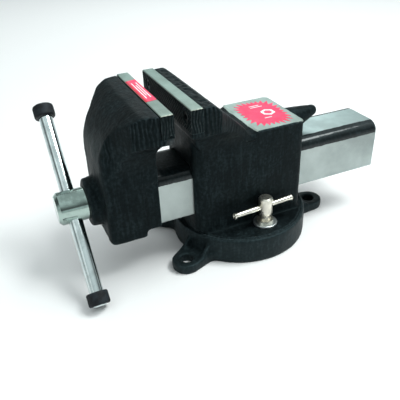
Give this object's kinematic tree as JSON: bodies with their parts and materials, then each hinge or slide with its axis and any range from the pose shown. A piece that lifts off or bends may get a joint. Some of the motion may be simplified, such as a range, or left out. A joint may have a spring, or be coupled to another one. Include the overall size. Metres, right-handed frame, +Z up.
{
  "type": "bench vise",
  "caption": "Bench vise on a swivel base with three bolt lugs, sliding jaw on a channel bar, anvil pad and a sliding T-handle.",
  "frame": {"origin": "centre of the swivel base on its underside, the face that meets the bench", "axes": "+Z up, +Y from the handle end towards the slide bar's free end, +X to the right as seen from the handle"},
  "size_m": [0.1871, 0.4265, 0.2113],
  "materials": {
    "casting": "black paint on a rough casting, anvil and bar flats ground bright",
    "insert_steel": "hardened, ground top, serrated gripping face",
    "screw_steel": "oiled steel",
    "chrome": "polished chrome",
    "nickel": "warm nickel plate",
    "cap": "black, ribbed",
    "label": "printed sticker, no text"
  },
  "bodies": {
    "base": {"swivel_base": "casting"},
    "rear_jaw": {"rear_jaw_body": "casting", "rear_jaw_insert": "insert_steel", "rear_insert_screws": "screw_steel", "spindle_nut": "casting", "nut_bolt": "screw_steel", "right_lock_washer": "nickel", "left_lock_washer": "nickel", "right_lock_nut": "screw_steel", "left_lock_nut": "screw_steel", "anvil_label": "label"},
    "front_jaw": {"front_jaw_body": "casting", "front_jaw_insert": "insert_steel", "front_insert_screws": "screw_steel", "jaw_label": "label"},
    "spindle": {"spindle_screw": "chrome", "spindle_retainer": "screw_steel", "retainer_pin": "screw_steel"},
    "handle": {"handle_bar": "chrome", "upper_handle_cap": "cap", "lower_handle_cap": "cap"},
    "right_lock": {"right_lock_screw": "nickel"},
    "right_lock_handle": {"right_lock_bar": "nickel"},
    "left_lock": {"left_lock_screw": "nickel"},
    "left_lock_handle": {"left_lock_bar": "nickel"}
  },
  "joints": [
    {"name": "swivel", "type": "hinge", "parent": "base", "child": "rear_jaw", "pos_m": [0, 0, 0.016], "axis": [0, 0, 1], "continuous": true},
    {"name": "jaw_slide", "type": "slide", "parent": "rear_jaw", "child": "front_jaw", "axis": [0, 1, 0], "range_m": [-0.1315, 0.018]},
    {"name": "spindle_turn", "type": "hinge", "parent": "front_jaw", "child": "spindle", "pos_m": [0, -0.2, 0.092], "axis": [0, 1, 0], "range_deg": [-9460, 1290]},
    {"name": "handle_slide", "type": "slide", "parent": "spindle", "child": "handle", "axis": [-0.7009, 0, 0.7133], "range_m": [-0.0925, 0.083]},
    {"name": "right_lock_turn", "type": "hinge", "parent": "rear_jaw", "child": "right_lock", "pos_m": [0.0587, 0.0076, 0.04], "axis": [0, 0, 1], "range_deg": [-9.6, 1.2]},
    {"name": "right_lock_bar_slide", "type": "slide", "parent": "right_lock", "child": "right_lock_handle", "axis": [-0.0732, 0.9973, 0], "range_m": [-0.0262, 0.0325]},
    {"name": "left_lock_turn", "type": "hinge", "parent": "rear_jaw", "child": "left_lock", "pos_m": [-0.0587, 0.0076, 0.04], "axis": [0, 0, 1], "range_deg": [-1.2, 9.6]},
    {"name": "left_lock_bar_slide", "type": "slide", "parent": "left_lock", "child": "left_lock_handle", "axis": [0.0732, 0.9973, 0], "range_m": [-0.0262, 0.0325]}
  ],
  "couplings": [
    {"joint": "jaw_slide", "follows": "spindle_turn", "m_per_rad": 0.00079577}
  ]
}
